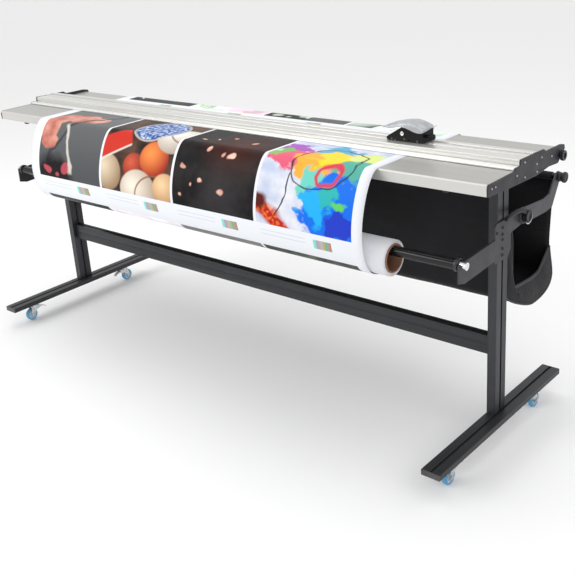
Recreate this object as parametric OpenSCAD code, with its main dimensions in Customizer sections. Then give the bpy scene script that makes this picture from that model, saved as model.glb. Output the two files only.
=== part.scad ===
// Stand-mounted trimmer for wide printed media, with its media roll and catch bag.
// Millimetres. X runs along the bed, -Y is the operator's side, +Z is up.
// The origin is on the floor, under the middle of the feet and of the bed.

/* [Bed] */
// Length of the extrusions between the two end plates
bed_len = 2174; // [2100:2:2240]
// Thickness of an end plate
plate_t = 5; // [4:0.5:6]
// Height of the front table's top above the floor
table_z = 872; // [868:1:876]
// Height of the guide rail's top above the front table's top
rail_rise = 23; // [22:0.5:25]
// Width of the slot that the blade runs in
slot_w = 6; // [5.6:0.2:7]

/* [Stand] */
// Outer face of each foot, measured from the middle of the bed
stand_out = 1044; // [1000:1:1060]
// Length of a foot with its end caps
foot_len = 734; // [734:2:800]
// Width of a foot
foot_w = 60; // [56:1:66]
// Height of a foot's section
foot_h = 18; // [17:0.5:19]
// Width of a column's section along the bed
col_w = 28; // [26:1:30]
// Depth of a column's section
col_d = 60; // [56:1:60]
// Height of the cross beam's section
beam_h = 60; // [50:1:70]
// Height of the cross beam's top above the floor
beam_top = 336; // [300:2:360]

/* [Casters] */
// Wheel diameter
wheel_d = 50; // [48:1:51]
// Wheel width
wheel_w = 17; // [15:1:18]
// Distance from the swivel axis to the wheel axle
trail = 16; // [12:1:18]
// Distance from the middle of the foot to a front swivel axis
caster_front = 258; // [240:1:300]
// Distance from the middle of the foot to a rear swivel axis
caster_rear = 228; // [210:1:300]

/* [Carriage] */
// Where the carriage's middle stands along the bed
carriage_x = 706; // [-900:1:900]
// Length of the carriage body
carriage_len = 126; // [124:2:140]
// Radius of the round blade
blade_r = 30; // [29.5:0.1:30.4]
// Radius of a running roller
roller_r = 7; // [6:0.5:8]

/* [Media] */
// Width of the printed web
web_w = 1556; // [1200:2:1570]
// Where the middle of the web stands along the bed
web_x = -25; // [-40:1:20]
// Diameter of the wound roll
roll_d = 106; // [96:1:108]
// Inner diameter of the cardboard core
core_id = 76.2; // [76:0.1:77]
// Wall of the cardboard core
core_wall = 4.4; // [3:0.2:5]
// Diameter of the media rod
rod_d = 30; // [26:1:32]

/* [Catch bag] */
// Thickness of the bag's cloth as a solid
cloth_t = 3; // [2:0.5:4]
// Diameter of the rod along the bag's rear hem
hem_rod_d = 20; // [16:1:22]

/* [Hidden] */

$fn = 48;
eps = 0.01;
// Smallest gap left between curved faces of different bodies
gap = 0.3;
// Radial clearance of a running shaft
run_fit = 0.05;
// Wall of the hollow extrusions
wall = 2.5;

BLACK = "#2b2c2e";
CHARCOAL = "#3b3c41";
SILVER = "#c9cac6";
STEEL = "#b9bcc0";
BLUE = "#3fa6dc";

// Stand
caster_h = 70;
foot_top = caster_h + foot_h;
cap_t = 3;
foot_x = stand_out - foot_w / 2;
col_y = 26;
cradle_h = 6;
bed_bottom = table_z - 36;
col_top = bed_bottom - cradle_h;
// The two stands are the same and not a mirrored pair: each column is flush with its foot's -X edge.
left_col_x = -stand_out;
right_col_x = stand_out - foot_w;
beam_t = 30;
groove_w = 8;
groove_d = 5;
bolt_r = 3;
// Thread length of a bolt in a column's or the beam's end
grip_l = 16;
beam_bolt_r = 2.5;
bracket_t = 5;
arm_t = 5;
beam_hollow_h = (beam_h - groove_d) / 2 - 2 * wall;
beam_bolt_z = beam_top - beam_h + beam_hollow_h + 1.5 * wall;

// Bed, in the (Y, Z) section
end_x = bed_len / 2;
outer_x = end_x + plate_t;
rail_z = table_z + rail_rise;
slot_y = 36;
strip_front = -62;
rail_front_y = -31;
rail_rear_y = 108;
rear_table_y = 112;
rear_table_edge = 220;
// The end plates stand above the rear table and reach past its edge.
plate_rear_z = table_z + 11;
plate_rear_y = 233;
under_rail = table_z + 5;
lock_y = 206;
lock_z = 852;
lock_x = outer_x + 2;
// Screws that hold the end plates, as (Y, Z)
screw_at = [
    [-186, 858], [-168, 858], [-53, 858], [-10, 884], [-8, 842], [60, 862], [62, 840],
    [88, 874], [150, 862]
];

// Web and roll
sheet_t = 0.8;
sheet_lift = 0.1;
roll_r = roll_d / 2;
core_r = core_id / 2;
roll_y = -200;
roll_z = 616.5;
// The core hangs on the rod, so the rod lies against the top of the core's bore.
rod_z = roll_z + core_r - rod_d / 2 - gap;
roll_len = 1594;
rod_right = right_col_x + col_w - 4;
rod_left = left_col_x + col_w + bracket_t + 4;
// Path of the web in (Y, Z): round the back and bottom of the roll, out in front, up over the
// front table, under the rail, over the rear table and down behind it.
web_r = roll_r + gap + sheet_t / 2;
web_z = table_z + sheet_lift + sheet_t / 2;
bend = [-287, 690];
web_path = concat(
    [for (a = [0 : -5 : -90]) [roll_y + web_r * cos(a), roll_z + web_r * sin(a)]],
    bezier([roll_y, roll_z - web_r], [roll_y - 57, roll_z - web_r], [bend[0], 615], bend, 16),
    bezier(bend, [bend[0], 765], [-240, web_z], [-203, web_z], 12),
    [[219, web_z]],
    bezier([219, web_z], [241, web_z], [253, 860], [256, 806], 8)
);

// Brackets and arms, in the (Y, Z) section
pivot_y = 135;
pivot_z = 681;
pivot_r = 5;
hem_y = 350;
hem_z = 742;
stand_step = left_col_x - right_col_x;
right_face = right_col_x + col_w;
// The bag's left end is clear of the left clamp lever.
bag_left = right_face + stand_step + 36;
bag_right = right_face - 6;
// The hem rod runs from the left arm's inner face to the right arm's outer face.
hem_left = right_face + stand_step + bracket_t + gap;
hem_right = right_face + bracket_t + gap + arm_t;
bag_top = col_top - 1;
// Outer outline of the bag's sling in (Y, Z), open at the top
bag_outline = [
    [66, bag_top], [66, 448], [80, 431], [130, 403], [196, 373], [246, 361], [300, 366],
    [348, 386], [364, 415], [356, 456], [340, 508], [338, 560], [342, 640], [344, 728]
];
rod_end_r = 11;
// Bolts of a side bracket, as (Y, Z)
bracket_bolt_at = [[16, 598], [16, 617], [16, 644], [16, 660], [16, 680], [-16, 672]];

// Carriage
body_w = 56;
body_z = rail_z + 1.4;
body_top = rail_z + 44;
roller_y = [11, 45];
track_d = 2;
roller_x = 44;
roller_z = rail_z - track_d + gap + roller_r;
knob_y = slot_y - 20;
knob_z = body_z + 18;
knob_shaft_r = 3;
axle_r = 3;
blade_z = table_z + sheet_t + sheet_lift + gap + blade_r;

// Casters: where the swivel axis of caster i meets the floor, and the way the wheel trails
function caster_at(i) = [
    i % 2 == 0 ? -foot_x : foot_x,
    i < 2 ? -caster_front : caster_rear,
    0
];
function caster_turn(i) = i < 2 ? 0 : 180;
pin_r = 2;
pedal_y = 18;
pedal_z = 50;

// ---- Shared shapes ----

// Extrudes a (Y, Z) section along X from x0 to x1.
module along_x(x0, x1) {
    translate([x0, 0, 0])
        rotate([90, 0, 90])
            linear_extrude(height = x1 - x0)
                children();
}

// Cylinder along X with its middle line at (y, z).
module x_rod(r, x0, x1, y, z) {
    translate([x0, y, z])
        rotate([0, 90, 0])
            cylinder(r = r, h = x1 - x0);
}

// Ring section turned about an axis along X.
module x_ring(r_in, r_out, x0, x1, y, z) {
    translate([x0, y, z])
        rotate([0, 90, 0])
            difference() {
                cylinder(r = r_out, h = x1 - x0);
                translate([0, 0, -1])
                    cylinder(r = r_in, h = x1 - x0 + 2);
            }
}

// Undercut groove of a slotted extrusion, opening at the top of (0, 0).
module groove_2d() {
    translate([-groove_w / 2, -groove_d])
        square([groove_w, groove_d + 1]);
    translate([-groove_w / 2 - 3, -groove_d])
        square([groove_w + 6, groove_d - 2]);
}

// Four-sided section with a groove in the middle of its top, and a hollow on each side of it.
module grooved_2d(w, h, both = false) {
    hollow_w = (w - groove_w) / 2 - 3 - 2 * wall;
    difference() {
        translate([-w / 2, -h])
            square([w, h]);
        groove_2d();
        if (both)
            translate([0, -h])
                mirror([0, 1])
                    groove_2d();
        for (side = [-1, 1])
            translate([side * (w / 2 - wall - hollow_w / 2) - hollow_w / 2, wall - h])
                square([hollow_w, h - 2 * wall]);
    }
}

// Button head along +Z with a hexagon recess, and its shank below.
module button_bolt(head_r, head_h, shank_r, shank_l) {
    difference() {
        union() {
            cylinder(r1 = head_r, r2 = head_r * 0.72, h = head_h);
            translate([0, 0, -shank_l])
                cylinder(r = shank_r, h = shank_l + eps);
        }
        translate([0, 0, head_h * 0.4])
            cylinder(r = head_r * 0.42, h = head_h, $fn = 6);
    }
}

function bezier(a, b, c, d, n) = [
    for (i = [1 : n])
        let (t = i / n, s = 1 - t)
            s * s * s * a + 3 * s * s * t * b + 3 * s * t * t * c + t * t * t * d
];

// Unit normal of a path at point i.
function path_normal(p, i) =
    let (
        a = p[max(i - 1, 0)],
        b = p[min(i + 1, len(p) - 1)],
        d = (b - a) / norm(b - a)
    ) [-d[1], d[0]];

// Closed outline of a strip of thickness t along a path.
function thick_path(p, t) = concat(
    [for (i = [0 : len(p) - 1]) p[i] + path_normal(p, i) * t / 2],
    [for (i = [len(p) - 1 : -1 : 0]) p[i] - path_normal(p, i) * t / 2]
);

// Points along an arc of radius r round (cy, cz), from angle a0 to a1 in n steps.
function arc(cy, cz, r, a0, a1, n = 6) = [
    for (i = [0 : n])
        let (a = a0 + (a1 - a0) * i / n)
            [cy + r * cos(a), cz + r * sin(a)]
];

// ---- Stand ----

// Grooved extrusion along Y, drilled from below for the caster stems.
module foot(x) {
    stem_room = 16;
    color(BLACK)
        difference() {
            translate([x, foot_len / 2 - cap_t, foot_top])
                rotate([90, 0, 0])
                    linear_extrude(height = foot_len - 2 * cap_t)
                        difference() {
                            grooved_2d(foot_w, foot_h);
                            // Clearance for the caster stems in the middle web
                            translate([-stem_room / 2, wall - foot_h])
                                square([stem_room, foot_h - groove_d - 2 * wall]);
                        }
            for (y = [-caster_front, caster_rear])
                translate([x, y, caster_h - 1])
                    cylinder(r = pivot_r + 0.1, h = wall + 2);
            // Bolt into the column
            translate([x - (foot_w - col_w) / 2, col_y, caster_h - 1])
                cylinder(r = bolt_r, h = foot_h + 2);
        }
}

module foot_left() {
    foot(-foot_x);
}

module foot_right() {
    foot(foot_x);
}

module foot_end_caps() {
    color(BLACK)
        for (x = [-foot_x, foot_x], end = [-1, 1])
            translate([x - foot_w / 2, end * (foot_len / 2 - cap_t / 2) - cap_t / 2, caster_h])
                cube([foot_w, cap_t, foot_h]);
}

module column(x) {
    color(CHARCOAL)
        difference() {
            translate([x + col_w, col_y, foot_top])
                linear_extrude(height = col_top - foot_top)
                    rotate(-90)
                        grooved_2d(col_d, col_w, both = true);
            translate([x + col_w / 2, col_y, foot_top - 1])
                cylinder(r = bolt_r, h = grip_l + 1);
            x_rod(beam_bolt_r, x - 1, x + col_w + 1, col_y, beam_bolt_z);
        }
}

module column_left() {
    column(left_col_x);
}

module column_right() {
    column(right_col_x);
}

module beam_2d() {
    z0 = beam_top - beam_h;
    difference() {
        translate([col_y - beam_t / 2, z0])
            square([beam_t, beam_h]);
        translate([col_y, beam_top])
            groove_2d();
        for (z = [z0 + wall, z0 + 2 * wall + beam_hollow_h])
            translate([col_y - beam_t / 2 + wall, z])
                square([beam_t - 2 * wall, beam_hollow_h]);
        // Shallow line along the middle of each side
        for (side = [-1, 1])
            translate([col_y + side * beam_t / 2, z0 + beam_h / 2])
                circle(r = 1, $fn = 24);
    }
}

module cross_beam() {
    color(BLACK)
        along_x(left_col_x + col_w, right_col_x)
            difference() {
                union() {
                    beam_2d();
                    translate([col_y, beam_bolt_z])
                        circle(r = 5.5);
                }
                translate([col_y, beam_bolt_z])
                    circle(r = beam_bolt_r);
            }
}

module bolt(grip) {
    button_bolt(5, 3, bolt_r, grip);
}

// Bolts of the side brackets, up through the feet into the columns, and through the columns'
// grooves into the beam.
module frame_bolts() {
    color("#1d1d1f") {
        for (side = [0, 1], at = bracket_bolt_at)
            on_bracket(side)
                translate([-at[1], at[0], 0])
                    bolt(bracket_t);
        for (x = [left_col_x + col_w / 2, right_col_x + col_w / 2])
            translate([x, col_y, caster_h])
                mirror([0, 0, 1])
                    bolt(foot_h + grip_l);
        for (side = [0, 1])
            translate([side == 0 ? right_col_x + col_w - groove_d : left_col_x + groove_d, 0, 0])
                translate([0, col_y, beam_bolt_z])
                    rotate([0, side == 0 ? 90 : -90, 0])
                        button_bolt(3.8, 3.5, beam_bolt_r, col_w - groove_d + grip_l);
    }
}

module caster_stems() {
    color(STEEL)
        for (i = [0 : 3])
            translate(caster_at(i)) {
                translate([0, 0, 52.2])
                    cylinder(r = 7.5, h = 2.4);
                translate([0, 0, 53])
                    cylinder(r = pivot_r, h = 26);
                translate([0, 0, 66.4])
                    cylinder(r = 14, h = caster_h - 66.4);
            }
}

module table_cradles() {
    color(BLACK)
        for (x = [left_col_x, right_col_x])
            translate([x, -150, col_top])
                cube([col_w, 330, cradle_h]);
}

// Rubber feet under the front table's lip, for a bed that stands on a bench.
module table_bumpers() {
    function under_lip(y) = table_z - 32 + (bed_bottom - table_z + 32) * (y + 204) / 108;
    color("#161617")
        for (x = [-955, 955])
            along_x(x - 8, x + 8)
                polygon([
                    [-188, under_lip(-188)], [-172, under_lip(-172)],
                    [-174, table_z - 44], [-186, table_z - 44]
                ]);
}

// ---- Bed ----

module bed_extrusion() {
    color(SILVER)
        along_x(-end_x, end_x)
            children();
}

// Four-sided hollow between y0 and y1 with floor and roof heights at each side.
module hollow(y0, y1, low0, low1, high0, high1) {
    polygon([[y0, low0], [y1, low1], [y1, high1], [y0, high0]]);
}

module front_table() {
    z = table_z;
    b = bed_bottom;
    bed_extrusion()
        difference() {
            polygon(concat(
                [[-204, z - 32]],
                arc(-200, z - 4, 4, 180, 90),
                [[26, z], [26, b], [-96, b]]
            ));
            hollow(-201, -128, z - 29.5, b + 3.6, z - 4, z - wall);
            hollow(-125, -52, b + 3.5, b + wall, z - wall, z - wall);
            hollow(-49, 23, b + wall, b + wall, z - wall, z - wall);
        }
}

module bed_beam() {
    z = table_z;
    b = bed_bottom;
    bed_extrusion()
        difference() {
            polygon([
                [26, b], [26, z], [28, z], [28, z - 4], [44, z - 4], [44, z],
                [rear_table_y, z], [rear_table_y, b]
            ]);
            hollow(29, 54, b + wall, b + wall, z - 7, z - 7);
            hollow(57, 109, b + wall, b + wall, z - 3, z - 3);
        }
}

module cutting_strip() {
    color("#e9e9e4")
        along_x(-end_x, end_x)
            translate([28.2, table_z - 4])
                square([15.6, 4]);
}

module rear_table() {
    z = table_z;
    b = bed_bottom;
    bed_extrusion()
        difference() {
            polygon(concat(
                [[rear_table_y, b], [182, b], [rear_table_edge - 2, z - 15], [rear_table_edge, z - 11]],
                arc(rear_table_edge - 3, z - 3, 3, 0, 90),
                [[rear_table_y, z]]
            ));
            hollow(115, 148, b + wall, b + wall, z - wall, z - wall);
            hollow(151, 180, b + wall, b + wall, z - wall, z - wall);
            hollow(183, 215, b + 5, z - 13, z - wall, z - wall);
        }
}

// Track for the carriage rollers, cut into a rail's top at y.
module track_2d(y) {
    translate([y - 4, rail_z - track_d])
        square([8, track_d + 1]);
}

module rail_front() {
    edge = slot_y - slot_w / 2;
    bed_extrusion()
        difference() {
            polygon(concat(
                [[rail_front_y, under_rail]],
                arc(rail_front_y + 3, rail_z - 3, 3, 180, 90),
                [[edge, rail_z], [edge, under_rail]]
            ));
            track_2d(roller_y[0]);
            // Undercut that the carriage's keepers run in
            translate([edge - 3, rail_z - 12])
                square([4, 4]);
            hollow(-28, 3, under_rail + 2, under_rail + 2, rail_z - wall, rail_z - wall);
            hollow(6, 27, under_rail + 2, under_rail + 2, rail_z - 5, rail_z - 5);
        }
}

module rail_rear() {
    edge = slot_y + slot_w / 2;
    bed_extrusion()
        difference() {
            polygon([
                [edge, under_rail], [edge, rail_z], [68, rail_z], [71, rail_z - 2],
                [94, rail_z - 8], [rail_rear_y, rail_z - 14], [rail_rear_y, under_rail]
            ]);
            track_2d(roller_y[1]);
            translate([edge - 1, rail_z - 12])
                square([4, 4]);
            hollow(45, 55, under_rail + 2, under_rail + 2, rail_z - 5, rail_z - 5);
            hollow(58, 90, under_rail + 2, under_rail + 2, rail_z - 5, rail_z - 10.5);
        }
}

module pressure_strip() {
    low = table_z + sheet_t + sheet_lift + gap;
    high = table_z + 7;
    color("#f0f0ec")
        along_x(1 - end_x, end_x - 1)
            polygon([
                [strip_front, low], [strip_front, high - 2], [strip_front + 3, high],
                [-36, high], [-32.5, high - 1.5], [-32.5, low]
            ]);
}

module plate_2d() {
    z = table_z;
    polygon([
        [-204, z - 32], [-205, z - 10], [-199, z], [-62, z], [-57, z + 7], [-33, z + 7],
        [-31, rail_z + 1], [103, rail_z - 2], [116, plate_rear_z + 1], [206, plate_rear_z],
        [229, plate_rear_z - 5], [plate_rear_y, plate_rear_z - 17], [191, bed_bottom - 4],
        [134, bed_bottom],
        [62, bed_bottom - 7], [-101, bed_bottom - 2]
    ]);
}

module end_plate(x) {
    color(CHARCOAL)
        difference() {
            along_x(x, x + plate_t)
                plate_2d();
            for (at = screw_at)
                x_rod(2.2, x - 1, x + plate_t + 1, at[0], at[1]);
            x_rod(3 + run_fit, x - 1, x + plate_t + 1, lock_y, lock_z);
        }
}

module end_plate_left() {
    end_plate(-outer_x);
}

module end_plate_right() {
    end_plate(end_x);
}

module plate_screws() {
    color(STEEL)
        for (side = [0, 1], at = screw_at)
            mirror([side, 0, 0])
                translate([outer_x, at[0], at[1]])
                    rotate([0, 90, 0])
                        button_bolt(3, 1.8, 2.1, plate_t);
}

// Knurled thumb knob on a stud through the end plate, axis along X.
module lock_knob(side) {
    knob_r = 15;
    color(BLACK)
        mirror([side, 0, 0])
            translate([lock_x, lock_y, lock_z])
                rotate([0, 90, 0])
                    difference() {
                        union() {
                            translate([0, 0, -2 - plate_t])
                                cylinder(r = 3, h = plate_t + 3);
                            cylinder(r = 9, h = 4);
                            translate([0, 0, 2])
                                cylinder(r = knob_r, h = 9);
                        }
                        for (k = [0 : 11])
                            rotate(k * 30)
                                translate([knob_r + 1.5, 0, -1])
                                    cylinder(r = 3, h = 20, $fn = 24);
                        translate([0, 0, 8])
                            cylinder(r = 8, h = 5);
                    }
}

module lock_knob_left() {
    lock_knob(1);
}

module lock_knob_right() {
    lock_knob(0);
}

// ---- Carriage ----

module in_carriage() {
    translate([carriage_x, 0, 0])
        children();
}

// Plate from y0 to y1 with an outline in (X, Z)
module side_plate(y0, y1) {
    translate([0, y1, 0])
        rotate([90, 0, 0])
            linear_extrude(height = y1 - y0)
                children();
}

// Side outline of the carriage body in (X, Z), with a ramp at its -X end
module body_side_2d(inset) {
    half = carriage_len / 2 - inset;
    polygon([
        [-half, body_z - 1], [-half, body_z + 9 - inset], [-8, body_top - inset],
        [half - 4, body_top - inset], [half, body_top - 8 - inset], [half, body_z - 1]
    ]);
}

module carriage_body() {
    color("#1f2022")
        in_carriage() {
            difference() {
                side_plate(0, body_w)
                    body_side_2d(0);
                side_plate(4, body_w - 4)
                    body_side_2d(4);
                translate([-100, -1, body_z - 3])
                    cube([200, body_w + 2, 3]);
                // Arches in the lower edge of both sides
                for (x = [-34, 14])
                    translate([x, -1, body_z])
                        rotate([-90, 0, 0])
                            cylinder(r = 5, h = body_w + 2);
                for (x = [-roller_x, roller_x])
                    axle_bore(x, roller_z);
                axle_bore(0, blade_z);
                x_rod(knob_shaft_r + run_fit, 50, carriage_len, knob_y, knob_z);
            }
            // Keepers that run in the undercut of the rail's slot
            keeper(-60, body_z + 11);
            keeper(51, body_top - 2);
        }
}

// T-shaped keeper, 8 mm long, that reaches up to z1.
module keeper(x, z1) {
    tongue_w = slot_w - 2;
    translate([x, slot_y - tongue_w / 2, rail_z - 11])
        cube([8, tongue_w, z1 - rail_z + 11]);
    translate([x, slot_y - 4.5, rail_z - 11.5])
        cube([8, 9, 2.6]);
}

module axle_bore(x, z) {
    translate([x, -5, z])
        rotate([-90, 0, 0])
            cylinder(r = axle_r, h = body_w + 10);
}

module carriage_cover() {
    skirt_t = 2;
    overhang = 3;
    color("#9b9ea1")
        in_carriage() {
            side_plate(-overhang, body_w + overhang)
                polygon([
                    [-84, body_top - 11], [-84, body_top - 6], [-54, body_top + 4],
                    [-18, body_top + 12], [10, body_top + 15.5], [36, body_top + 13.5],
                    [54, body_top + 8], [70, body_top + 3], [90, body_top + 8],
                    [90, body_top + 6], [70, body_top], [-8, body_top],
                    [-34, body_top - 5], [-60, body_top - 10]
                ]);
            for (y = [-overhang, body_w + overhang - skirt_t])
                side_plate(y, y + skirt_t)
                    polygon([
                        [-30, body_top - 1], [-13, body_top - 1], [15, body_top - 6],
                        [41, body_top - 14], [55, body_top - 10], [68, body_top + 1],
                        [-10, body_top + 1], [-30, body_top + 1]
                    ]);
        }
}

module cutting_blade() {
    color(STEEL)
        in_carriage()
            translate([0, slot_y + 0.75, blade_z])
                rotate([90, 0, 0])
                    difference() {
                        union() {
                            cylinder(r = blade_r - 3, h = 1.5);
                            translate([0, 0, 0.3])
                                cylinder(r1 = blade_r - 3, r2 = blade_r, h = 0.45);
                            translate([0, 0, 0.75])
                                cylinder(r1 = blade_r, r2 = blade_r - 3, h = 0.45);
                            translate([0, 0, -5])
                                cylinder(r = 7, h = 11.5);
                        }
                        translate([0, 0, -6])
                            cylinder(r = axle_r + run_fit, h = 14);
                    }
}

module blade_axle() {
    color(STEEL)
        in_carriage() {
            for (at = [[0, blade_z], [-roller_x, roller_z], [roller_x, roller_z]])
                translate([at[0], 0.5, at[1]])
                    rotate([-90, 0, 0])
                        cylinder(r = axle_r, h = body_w - 1);
        }
}

// Two rollers that turn on one axle, one in each track.
module roller(x) {
    color("#d8d8d4")
        in_carriage()
            translate([x, 0, roller_z])
                rotate([-90, 0, 0])
                    difference() {
                        for (y = roller_y)
                            translate([0, 0, y - 3])
                                cylinder(r = roller_r, h = 6);
                        translate([0, 0, -5])
                            cylinder(r = axle_r + run_fit, h = body_w + 10);
                    }
}

module roller_left() {
    roller(-roller_x);
}

module roller_right() {
    roller(roller_x);
}

module depth_knob() {
    x0 = carriage_len / 2;
    color("#1f2022")
        in_carriage()
            translate([x0 + 0.5, knob_y, knob_z])
                rotate([0, 90, 0])
                    difference() {
                        union() {
                            translate([0, 0, -7])
                                cylinder(r = knob_shaft_r, h = 8);
                            cylinder(r = 5, h = 13);
                            translate([0, 0, 12])
                                cylinder(r = 8.5, h = 15);
                        }
                        for (k = [0 : 9])
                            rotate(k * 36)
                                translate([9.3, 0, 11])
                                    cylinder(r = 1.6, h = 18, $fn = 16);
                    }
}

// ---- Brackets and arms ----

module bracket_2d() {
    difference() {
        polygon(concat(
            // Front arm, which carries the media rod's seat
            [[-26, 582], [-26, 592], [-190, 584], [-220, 592], [-219, 645], [-26, 654]],
            // Tab on the column's outer face
            [[-26, 692], [-18, 700], [57, 700], [64, 694]],
            // Rear arm, which carries the pivot
            arc(pivot_y, pivot_z, 24, 110, -100, 14),
            [[65, 650], [65, 604], [50, 582]]
        ));
        translate([roll_y, rod_z])
            circle(r = rod_end_r + gap);
        translate([roll_y - rod_end_r - gap, rod_z])
            square([2 * (rod_end_r + gap), 60]);
        for (at = bracket_bolt_at)
            translate(at)
                circle(r = bolt_r + 0.1);
    }
}

// Stud that the rear arm and the clamp lever turn on, standing on a bracket's outer face.
module pivot_stud(side) {
    on_bracket(side)
        translate([-pivot_z, pivot_y, -eps])
            cylinder(r = pivot_r, h = arm_t + 2 * gap + 8);
}

module side_bracket(side) {
    color(CHARCOAL) {
        on_bracket(side)
            rotate([0, -90, 0])
                along_x(-bracket_t, 0)
                    bracket_2d();
        pivot_stud(side);
    }
}

module side_bracket_left() {
    side_bracket(1);
}

module side_bracket_right() {
    side_bracket(0);
}

// Runs its children in a frame whose origin is on a bracket's outer face, with +Z pointing
// away from the column. Both stands carry their bracket on the +X face of the column.
module on_bracket(side) {
    translate([right_face + bracket_t + side * stand_step, 0, 0])
        rotate([0, 90, 0])
            children();
}

module arm_2d() {
    difference() {
        polygon(concat(
            arc(pivot_y, pivot_z, 24, 270, 90, 14),
            [[262, 696], [294, 701], [328, 746], [336, 756]],
            arc(hem_y, hem_z, 16.5, 120, -50, 8),
            [[314, 657], [274, 652]]
        ));
        translate([hem_y, hem_z])
            circle(r = hem_rod_d / 2);
        translate([pivot_y, pivot_z])
            circle(r = pivot_r + run_fit);
    }
}

module rear_arm(side) {
    color("#55565c")
        on_bracket(side)
            rotate([0, -90, 0])
                along_x(gap, gap + arm_t)
                    arm_2d();
}

module rear_arm_left() {
    rear_arm(1);
}

module rear_arm_right() {
    rear_arm(0);
}

// Clamp hub with a light ring and a curved hand lever, turning about the pivot bolt.
module clamp_lever(side) {
    low = arm_t + 2 * gap;
    color("#1f2022")
        on_bracket(side)
            translate([-pivot_z, pivot_y, low])
                difference() {
                    union() {
                        cylinder(r = 20, h = 3);
                        cylinder(r = 15, h = 13);
                        lever_handle();
                    }
                    translate([0, 0, -1])
                        cylinder(r = pivot_r + run_fit, h = 10);
                }
}

// Tapered lever that leaves the hub towards the column.
module lever_handle() {
    hull() {
        translate([-4, -8, 5])
            cylinder(r = 7, h = 8, $fn = 32);
        translate([-16, -40, 9])
            cylinder(r = 6, h = 8, $fn = 32);
    }
    hull() {
        translate([-16, -40, 9])
            cylinder(r = 6, h = 8, $fn = 32);
        translate([-14, -78, 10])
            cylinder(r = 7.5, h = 8, $fn = 32);
    }
}

module clamp_lever_left() {
    clamp_lever(1);
}

module clamp_lever_right() {
    clamp_lever(0);
}

// Tube along the bag's rear hem, fixed in both arms.
module hem_rod() {
    color(BLACK)
        x_ring(hem_rod_d / 2 - 1.5, hem_rod_d / 2, hem_left, hem_right, hem_y, hem_z);
}

module hem_rod_knobs() {
    knob_r = 17;
    knob_l = 26;
    color("#161617") {
        x_rod(knob_r, hem_right, hem_right + knob_l, hem_y, hem_z);
        x_rod(knob_r, hem_left - knob_l, hem_left, hem_y, hem_z);
    }
}

// ---- Media ----

// Tube that carries the core, with a collar inside each bracket.
module media_rod() {
    tube_wall = 2;
    collar_r = rod_d / 2 + 4;
    collar_w = 6;
    color(BLACK) {
        x_ring(rod_d / 2 - tube_wall, rod_d / 2, rod_left, rod_right, roll_y, rod_z);
        for (x = [rod_left, rod_right - collar_w])
            x_ring(rod_d / 2 - eps, collar_r, x, x + collar_w, roll_y, rod_z);
    }
}

// Turned journals, plugged into the tube, that lie in the brackets' notches.
module media_rod_ends() {
    plug_l = 40;
    overhang = 13;
    color(STEEL)
        for (side = [0, 1])
            translate([side == 0 ? rod_right : rod_left, roll_y, rod_z])
                rotate([0, side == 0 ? 90 : -90, 0]) {
                    translate([0, 0, -plug_l])
                        cylinder(r = rod_d / 2 - 2, h = plug_l);
                    cylinder(r = rod_end_r, h = 4 + bracket_t + overhang);
                }
}

module media_core() {
    color("#8a6a4f")
        x_ring(core_r, core_r + core_wall, -roll_len / 2 - 3, roll_len / 2 + 3, roll_y, roll_z);
}

module media_roll() {
    color("#eef1f6")
        x_ring(core_r + core_wall, roll_r, -roll_len / 2, roll_len / 2, roll_y, roll_z);
}

module media_web() {
    color("#f4f6fa")
        along_x(web_x - web_w / 2, web_x + web_w / 2)
            polygon(thick_path(web_path, sheet_t));
}

// ---- Catch bag ----

module bag_outer_2d() {
    polygon(concat(bag_outline, [[344, bag_top]]));
}

module catch_bag() {
    n = len(bag_outline) - 1;
    inner = [for (i = [0 : n]) bag_outline[i] + path_normal(bag_outline, i) * cloth_t];
    color("#1c1c1f") {
        along_x(bag_left, bag_right)
            polygon(concat(bag_outline, [for (i = [n : -1 : 0]) inner[i]]));
        for (x = [bag_left, bag_right - cloth_t])
            along_x(x, x + cloth_t)
                intersection() {
                    bag_outer_2d();
                    polygon([
                        [60, 340], [60, 600], [84, 560], [110, 472], [160, 459], [226, 452],
                        [280, 456], [312, 480], [352, 520], [380, 520], [380, 340]
                    ]);
                }
    }
}

// Flat bar that clamps the bag's front hem under the bed.
module bag_hem_bar() {
    color(SILVER)
        along_x(bag_left, right_col_x - 2)
            translate([60.5, bed_bottom - 24])
                square([4, 24]);
}

// ---- Casters ----

module at_caster(i) {
    translate(caster_at(i))
        rotate([0, 0, caster_turn(i)])
            children();
}

module fork_side_2d() {
    polygon(concat(
        [[-16, 58], [24, 58], [24, 46], [14, 43], [4, 40]],
        arc(-trail, wheel_d / 2, 8, 10, -190, 12)
    ));
}

module fork(i) {
    leg_in = wheel_w / 2 + 0.8;
    fork_leg = 2.4;
    color(STEEL)
        at_caster(i) {
            difference() {
                union() {
                    translate([0, 0, 55])
                        cylinder(r = 15, h = 11);
                    for (side = [0, 1])
                        mirror([side, 0, 0])
                            along_x(leg_in, leg_in + fork_leg)
                                fork_side_2d();
                    translate([-leg_in - fork_leg, -16, 55])
                        cube([2 * (leg_in + fork_leg), 36, 3]);
                }
                translate([0, 0, 50])
                    cylinder(r = pivot_r + run_fit, h = 20);
                translate([0, 0, 50])
                    cylinder(r = 8.2, h = 5);
            }
            x_rod(axle_r, -leg_in - fork_leg - 2, leg_in + fork_leg + 2, -trail, wheel_d / 2);
            x_rod(pin_r, -leg_in - fork_leg, leg_in + fork_leg, pedal_y, pedal_z);
        }
}

module tyre(i) {
    r = wheel_d / 2;
    hw = wheel_w / 2;
    color(BLUE)
        at_caster(i)
            translate([0, -trail, r])
                rotate([0, 90, 0])
                    rotate_extrude($fn = 72)
                        polygon([
                            [17, -hw], [22, -hw], [24, 2 - hw], [r, 5 - hw], [r, hw - 5],
                            [24, hw - 2], [22, hw], [17, hw]
                        ]);
}

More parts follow.
